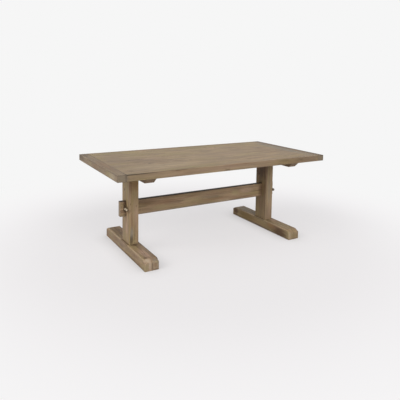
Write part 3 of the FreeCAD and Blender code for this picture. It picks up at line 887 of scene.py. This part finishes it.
def stem_shape():
    """A leveller's stem: an upright threaded rod with two flats for a spanner."""
    shape, given = new_shape(
        "stem_shape", middle="Vector", radius=0.004, low=0.003, high=0.045, pitch=0.00125,
        thread_depth=0.0007, flats_low=0.0095, flats_high=0.0155, flats_across=0.0065,
        chamfer=0.0006, sides=24, rings=200, finish="Material")
    low, high, radius = given.low, given.high, given.radius
    threads = thread_rule(radius, given.thread_depth, given.pitch, given.flats_high, high)

    def stem(angle, height):
        plain = height < given.flats_high
        foot = (height - low) + (radius - given.chamfer)
        return plain * radius.least(foot) + (1.0 - plain) * threads(angle, height)

    def flats(y, height):
        zone = (height > given.flats_low) * (height < given.flats_high)
        limit = given.flats_across / 2 + (1.0 - zone)
        return y.least(limit).most(-limit)

    rod = round_bar(shape, given.sides, given.rings, low, high, stem, flats)
    return end_shape(shape, rod, given.finish, given.middle)


def coach_screw_shape():
    """Four coach screws in a row, head down: hexagonal heads with their corners taken off."""
    shape, given = new_shape(
        "coach_screw_shape", row_middle="Vector", spacing=0.14, head_across=0.013,
        head_height=0.0055, radius=0.004, length=0.085, plain_share=0.4, pitch=0.0032,
        thread_depth=0.0007, finish="Material")
    flat, thick = given.head_across / 2, given.head_height
    radius, length = given.radius, given.length
    plain = length * given.plain_share

    def head_rule(angle, height):
        bend = (angle + 2 * math.pi).math("MODULO", math.pi / 3) - math.pi / 6
        chamfer = flat * 0.93 + (height + thick) * 1.7
        return (flat / bend.math("COSINE")).least(chamfer)

    threads = thread_rule(radius, given.thread_depth, given.pitch, plain, length)

    def shank_rule(angle, height):
        return (height < plain) * radius + (height > plain) * threads(angle, height)

    head = round_bar(shape, sides=48, rings=10, low=-thick, high=0.0, radius_rule=head_rule)
    shank = round_bar(shape, sides=16, rings=140, low=0.0, high=length,
                      radius_rule=shank_rule)
    screw = shape.node("GeometryNodeJoinGeometry", inputs={"Geometry": [head, shank]})
    # There are five places, and the middle one, over the post, stays empty.
    line = shape.node("GeometryNodeMeshLine", inputs={
        "Count": 5, "Start Location": shape.join(0.0, given.spacing * -2.0, 0.0),
        "Offset": shape.join(0.0, given.spacing, 0.0)})
    across = shape.split(shape.node("GeometryNodeInputPosition"))[1]
    screws = shape.node("GeometryNodeInstanceOnPoints", inputs={
        "Points": line, "Instance": screw,
        "Selection": abs(across) > given.spacing * 0.5})
    return end_shape(shape, screws, given.finish, given.row_middle)


def peg_shape():
    """A peg shaved from a square blank: not quite even, with both its ends domed."""
    shape, given = new_shape(
        "peg_shape", start="Vector", radius=0.0125, length=0.14, dome=0.004,
        facet_depth=0.0003, facets_round=1.6, facets_along=12.0, sides=48, rings=70,
        seed=1.0, finish="Material")
    radius, length, dome = given.radius, given.length, given.dome

    def shaved(angle, height):
        place = shape.join(angle * given.facets_round, height * given.facets_along, given.seed)
        cuts = shape.node("ShaderNodeTexNoise", inputs={
            "Vector": place, "Scale": 1.0, "Detail": 0.0})
        full = radius - (cuts - 0.25).most(0.0) * given.facet_depth
        from_end = height.least(length - height).most(0.0).least(dome) / dome
        round_off = (1.0 - (1.0 - from_end) ** 2.0) ** 0.5
        return full * (round_off * 0.3 + 0.7)

    bar = round_bar(shape, given.sides, given.rings, 0.0, length, shaved)
    return end_shape(shape, bar, given.finish, given.start, (-math.pi / 2, 0.0, 0.0))


def shaped_piece(name, tree, sharp_from, **sizes):
    """A plain mesh piece made by a shape, whose inputs are given by name, with its edges
    sharp from an angle in degrees."""
    piece = bpy.data.objects.new(name, bpy.data.meshes.new(name))
    bpy.context.scene.collection.objects.link(piece)
    modifier = piece.modifiers.new("shape", "NODES")
    modifier.node_group = tree
    sockets = {item.name: item.identifier for item in tree.interface.items_tree
               if item.in_out == "INPUT"}
    for key, value in sizes.items():
        modifier[sockets[socket_name(key)]] = value
    seen = piece.evaluated_get(bpy.context.evaluated_depsgraph_get())
    piece.data = bpy.data.meshes.new_from_object(seen)
    piece.modifiers.clear()
    piece.data.name = name
    if not piece.data.polygons:
        raise RuntimeError(f"the shape {tree.name} gave nothing for {name}")
    piece.data.set_sharp_from_angle(angle=math.radians(sharp_from))
    piece.data.polygons.foreach_set("use_smooth", [True] * len(piece.data.polygons))
    return piece


def pair(name):
    """The nodes of a piece that is on both sides."""
    return [f"{name}_{side}" for side in SIDES]


def cover(nodes, material):
    """Gives CAD nodes a finish."""
    for name in nodes:
        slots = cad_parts[name].data.materials
        slots.clear()
        slots.append(material)


# ---- operators

class FinishTop(bpy.types.Operator):
    """Stain and glaze the planks and the breadboards"""
    bl_idname = "trestle_table.finish_top"
    bl_label = "Finish Top"

    def execute(self, context):
        look = context.scene.table_wood
        cover(PLANKS, plank_wood(look))
        cover(pair("breadboard"), breadboard_wood(look))
        cover(pair("breadboard_pins"), pin_wood(look))
        return {"FINISHED"}


class FinishTrestles(bpy.types.Operator):
    """Stain and wear the feet, the posts and the beams"""
    bl_idname = "trestle_table.finish_trestles"
    bl_label = "Finish Trestles"

    def execute(self, context):
        look = context.scene.table_wood
        cover([f"foot_{side}_{face}" for side in SIDES for face in ("outer", "inner")],
              foot_wood(look))
        cover(pair("post"), post_wood(look))
        cover(pair("top_beam"), beam_wood(look))
        return {"FINISHED"}


class FinishStretcher(bpy.types.Operator):
    """Stain the stretcher and its through tenons"""
    bl_idname = "trestle_table.finish_stretcher"
    bl_label = "Finish Stretcher"

    def execute(self, context):
        cover(["stretcher"], stretcher_wood(context.scene.table_wood))
        return {"FINISHED"}


class ShavePegs(bpy.types.Operator):
    """Shave the two pegs and put them through the tenons"""
    bl_idname = "trestle_table.shave_pegs"
    bl_label = "Shave Pegs"

    def execute(self, context):
        material = peg_wood(context.scene.table_wood)
        tree = peg_shape()
        for seed, side in zip((-1.0, 1.0), SIDES):
            low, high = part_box(f"peg_{side}")
            middle = (low + high) / 2
            peg = shaped_piece(
                f"shaved_peg_{side}", tree, 50,
                start=(middle.x, low.y, middle.z), radius=(high.x - low.x) / 2,
                length=high.y - low.y, seed=seed, finish=material)
            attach(peg, f"peg_{side}")
            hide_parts(f"peg_{side}")
        return {"FINISHED"}


class FitScrews(bpy.types.Operator):
    """Fit the coach screws and washers that hold the top down"""
    bl_idname = "trestle_table.fit_screws"
    bl_label = "Fit Screws"

    def execute(self, context):
        hardware = context.scene.table_hardware
        material = zinc_plate(hardware)
        cover(pair("top_washers") + pair("leveller_nuts"), material)
        tree = coach_screw_shape()
        for side in SIDES:
            low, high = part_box(f"top_screws_{side}")
            head_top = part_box(f"top_washers_{side}")[0].z
            row = shaped_piece(
                f"coach_screws_{side}", tree, 28,
                row_middle=((low.x + high.x) / 2, 0.0, head_top), spacing=PLANK_PITCH,
                head_height=head_top - low.z, length=high.z - head_top,
                pitch=hardware.screw_pitch, thread_depth=hardware.thread_depth,
                finish=material)
            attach(row, "table")
            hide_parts(f"top_screws_{side}")
        return {"FINISHED"}


class FitLevellers(bpy.types.Operator):
    """Cut the threads of the levellers' stems and finish their pads"""
    bl_idname = "trestle_table.fit_levellers"
    bl_label = "Fit Levellers"

    def execute(self, context):
        hardware = context.scene.table_hardware
        steel = bpy.data.materials["zinc_plate"]
        nylon = leveller_nylon(hardware)
        tree = stem_shape()
        for side in SIDES:
            for end in ENDS:
                node = f"leveller_stem_{side}_{end}"
                cover([f"leveller_pad_{side}_{end}"], nylon)
                low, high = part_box(node)
                stem = shaped_piece(
                    f"threaded_stem_{side}_{end}", tree, 40,
                    middle=((low.x + high.x) / 2, (low.y + high.y) / 2, 0.0),
                    radius=(high.x - low.x) / 2, low=low.z, high=high.z,
                    pitch=hardware.stem_pitch, thread_depth=hardware.thread_depth,
                    sides=hardware.rod_sides, finish=steel)
                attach(stem, node)
                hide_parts(node)
        return {"FINISHED"}


class BuildStage(bpy.types.Operator):
    """Lay the floor, light the table and set the camera"""
    bl_idname = "trestle_table.build_stage"
    bl_label = "Build Stage"

    def execute(self, context):
        stage = context.scene.table_stage
        lay_floor(stage)
        light_sky(stage)
        stand_lamp("side_lamp", stage.side_lamp, stage.side_lamp_turn, stage)
        stand_lamp("front_lamp", stage.front_lamp, 0.0, stage)
        set_camera(stage)
        context.scene.view_settings.view_transform = "Standard"
        return {"FINISHED"}


# ---- stage

FLOOR_HALF = 60.0               # metres from the table to the floor's edges
FADE_FROM, FADE_TO = 1.2, 3.0   # where the floor begins to look like the backdrop, and does
LAMP_AWAY = 5.0                 # metres; a lamp's light is the same from any distance


def seen_directly(recipe):
    """1 for what the camera, a reflection or a clear piece sees, and 0 for what lights."""
    path = recipe.node("ShaderNodeLightPath", output="Is Camera Ray")
    return path.most(path.out("Is Glossy Ray")).most(path.out("Is Transmission Ray"))


def lay_floor(stage):
    """A wide pale floor that keeps the table's shadow and fades into the backdrop."""
    paint = Finish("floor_paint")
    lamps = (stage.side_lamp + stage.front_lamp) * math.sin(stage.lamp_height) / math.pi
    lit = [level * (stage.sky + lamps) for level in stage.floor]
    glowing = 1.0 - stage.shadow
    near_glow = tuple((near - stage.shadow * level) / glowing
                      for near, level in zip(stage.near_floor, lit))[:3] + (1.0,)
    far = paint.rise((paint.x * paint.x + paint.y * paint.y) ** 0.5, FADE_FROM, FADE_TO)
    matt = paint.node("ShaderNodeBsdfDiffuse", inputs={"Color": stage.floor})
    # Painted contact shadow: the floor's glow is darkened where the feet stand close.
    open_share = paint.node("ShaderNodeAmbientOcclusion", inputs={
        "Distance": stage.contact_reach}, output="AO")
    glow = paint.node("ShaderNodeEmission", inputs={
        "Color": paint.shade(paint.mix(near_glow, stage.backdrop, far),
                             1.0 - (1.0 - open_share) * stage.contact), "Strength": 1.0})
    surface = paint.node("ShaderNodeMixShader", inputs={
        0: seen_directly(paint) * (far * stage.shadow + glowing), 1: matt, 2: glow})
    paint.node("ShaderNodeOutputMaterial", inputs={"Surface": surface})
    mesh = bpy.data.meshes.new("studio_floor")
    corners = [(FLOOR_HALF * x, FLOOR_HALF * y, 0.0)
               for x, y in ((-1, -1), (1, -1), (1, 1), (-1, 1))]
    mesh.from_pydata(corners, [], [(0, 1, 2, 3)])
    mesh.materials.append(paint.material)
    floor = bpy.data.objects.new("studio_floor", mesh)
    bpy.context.scene.collection.objects.link(floor)


def light_sky(stage):
    """Even white light from all round, which looks like the backdrop to the camera."""
    world = bpy.data.worlds.new("studio_sky")
    world.use_nodes = True
    bpy.context.scene.world = world
    sky = Recipe(world.node_tree)
    world.node_tree.nodes.clear()
    light = sky.node("ShaderNodeBackground", inputs={
        "Color": (1.0, 1.0, 1.0, 1.0), "Strength": stage.sky})
    wall = sky.node("ShaderNodeBackground", inputs={"Color": stage.backdrop, "Strength": 1.0})
    surface = sky.node("ShaderNodeMixShader", inputs={0: seen_directly(sky), 1: light, 2: wall})
    sky.node("ShaderNodeOutputWorld", inputs={"Surface": surface})


def stand_lamp(name, strength, round_to_left, stage):
    """A large soft lamp, turned round to the left from straight in front."""
    lamp = bpy.data.lights.new(name, "SUN")
    lamp.energy = strength
    lamp.angle = stage.lamp_spread
    level = math.cos(stage.lamp_height)
    towards = Vector((-math.sin(round_to_left) * level, -math.cos(round_to_left) * level,
                      math.sin(stage.lamp_height)))
    holder = bpy.data.objects.new(name, lamp)
    holder.rotation_euler = towards.to_track_quat("Z", "Y").to_euler()
    holder.location = towards * LAMP_AWAY
    bpy.context.scene.collection.objects.link(holder)


def set_camera(stage):
    """The camera in front of the left end, its lens shifted so that uprights stay nearly so."""
    camera = bpy.data.cameras.new("front_left")
    camera.sensor_width = 36.0
    camera.lens = stage.lens
    camera.shift_y = stage.lens_shift
    holder = bpy.data.objects.new("front_left", camera)
    turn = (Matrix.Rotation(stage.camera_turn, 3, "Z")
            @ Matrix.Rotation(math.pi / 2 - stage.camera_tilt, 3, "X")
            @ Matrix.Rotation(stage.camera_roll, 3, "Z"))
    holder.rotation_euler = turn.to_euler()
    holder.location = stage.camera_place
    bpy.context.scene.collection.objects.link(holder)
    bpy.context.scene.camera = holder


# ---- panel and registration

GROUPS = {"table_wood": TableWood, "table_hardware": TableHardware, "table_stage": TableStage}
OPERATORS = (FinishTop, FinishTrestles, FinishStretcher, ShavePegs, FitScrews, FitLevellers,
             BuildStage)


class TrestleTablePanel(bpy.types.Panel):
    """The steps of finishing the table, in order"""
    bl_idname = "VIEW3D_PT_trestle_table"
    bl_label = "Trestle Table"
    bl_space_type = "VIEW_3D"
    bl_region_type = "UI"
    bl_category = "Trestle Table"

    def draw(self, context):
        for name, group in GROUPS.items():
            box = self.layout.box()
            for setting in group.__annotations__:
                box.prop(getattr(context.scene, name), setting)
        for operator in OPERATORS:
            self.layout.operator(operator.bl_idname)


CLASSES = (*GROUPS.values(), *OPERATORS, TrestleTablePanel)


def register():
    for item in CLASSES:
        bpy.utils.register_class(item)
    for name, group in GROUPS.items():
        setattr(bpy.types.Scene, name, PointerProperty(type=group))


def unregister():
    for name in GROUPS:
        delattr(bpy.types.Scene, name)
    for item in reversed(CLASSES):
        bpy.utils.unregister_class(item)


def main():
    register()
    bpy.ops.trestle_table.finish_top()
    bpy.ops.trestle_table.finish_trestles()
    bpy.ops.trestle_table.finish_stretcher()
    bpy.ops.trestle_table.shave_pegs()
    bpy.ops.trestle_table.fit_screws()
    bpy.ops.trestle_table.fit_levellers()
    bpy.ops.trestle_table.build_stage()


if __name__ == "__main__":
    main()
